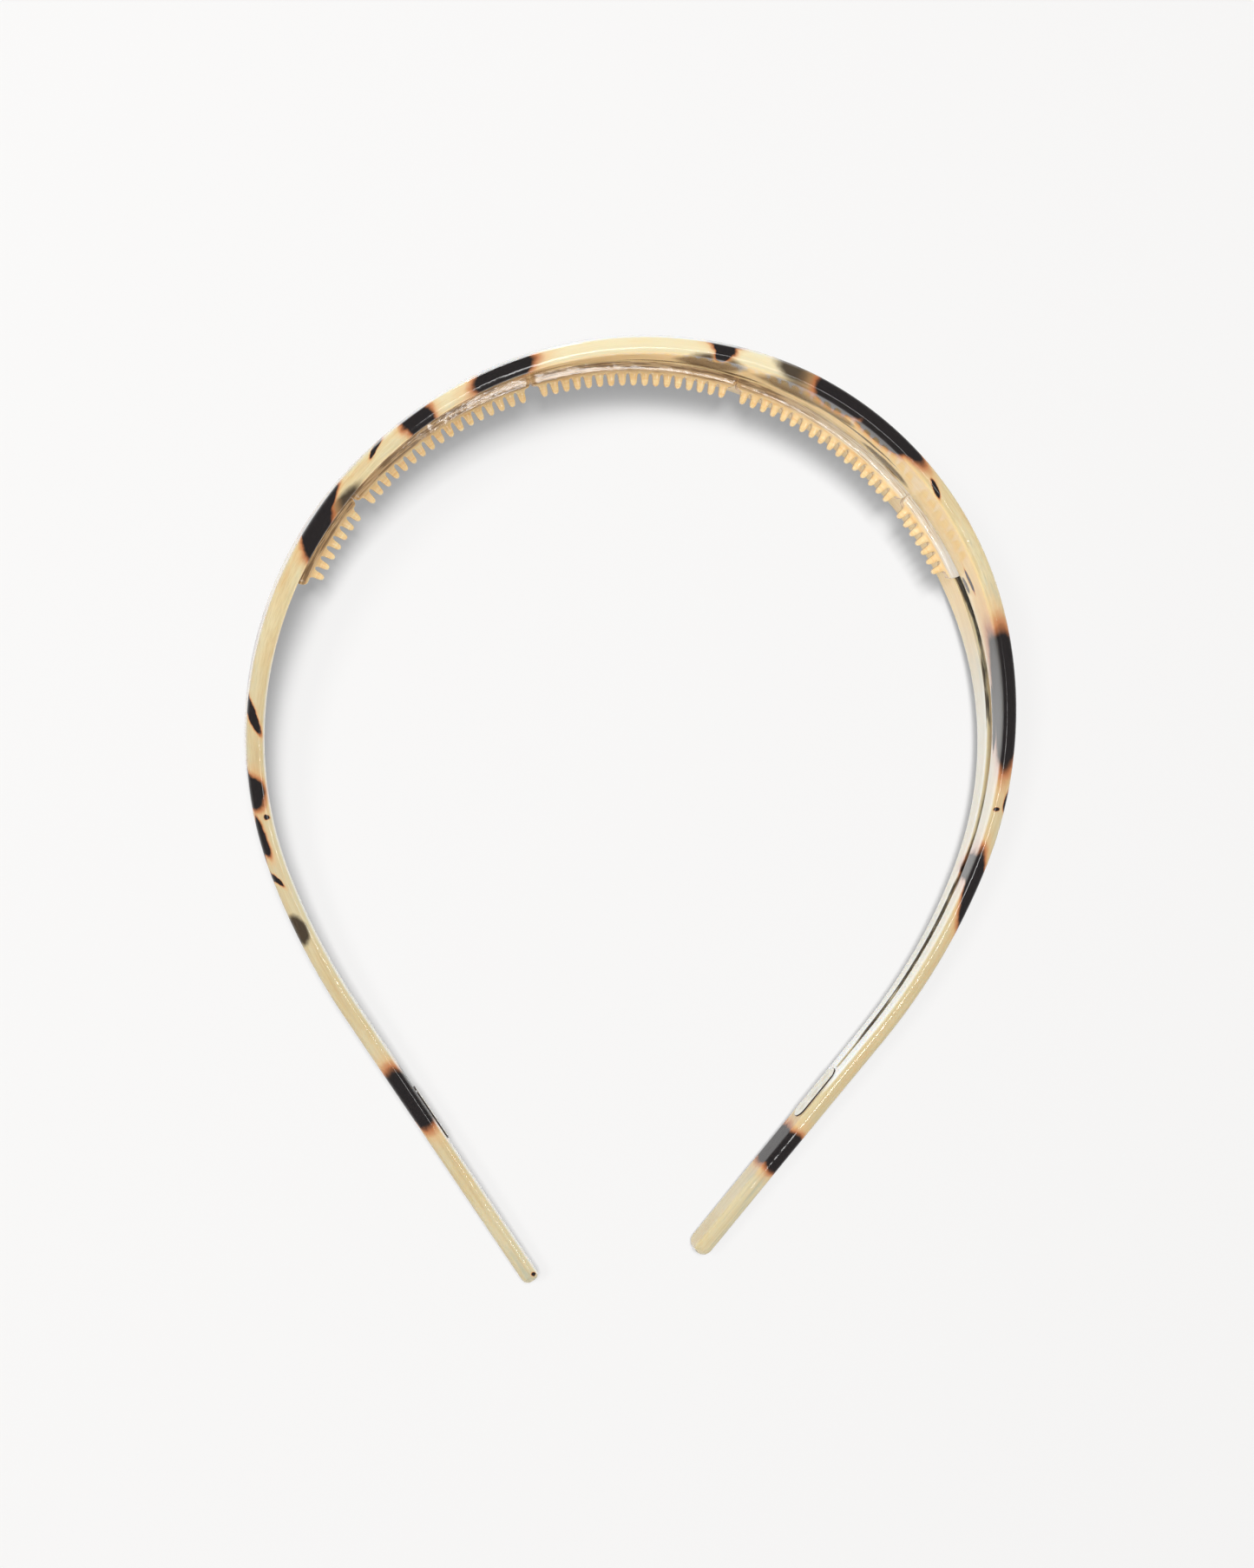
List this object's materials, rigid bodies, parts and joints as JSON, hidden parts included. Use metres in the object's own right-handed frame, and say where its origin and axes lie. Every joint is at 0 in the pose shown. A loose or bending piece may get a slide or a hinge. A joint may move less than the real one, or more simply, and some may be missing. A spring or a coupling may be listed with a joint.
{
  "type": "headband",
  "caption": "Rigid tortoiseshell acetate headband with clear comb teeth set in its inner face, tapering from a wide crown to narrow tips.",
  "frame": {"origin": "centre of the footprint, on the plane under the crown's lower edge", "axes": "+Y from the tips towards the crown, +Z across the width of the band, X from ear to ear"},
  "size_m": [0.1296, 0.1574, 0.03],
  "materials": {
    "acetate_tortoise": "polished",
    "acetate_honey": "polished",
    "acetate_plaque": "polished"
  },
  "bodies": {
    "root": {"band": "acetate_tortoise", "comb_left_end": "acetate_honey", "comb_left": "acetate_honey", "comb_center": "acetate_honey", "comb_right": "acetate_honey", "comb_right_end": "acetate_honey", "plaque_left": "acetate_plaque", "plaque_right": "acetate_plaque"}
  },
  "joints": []
}
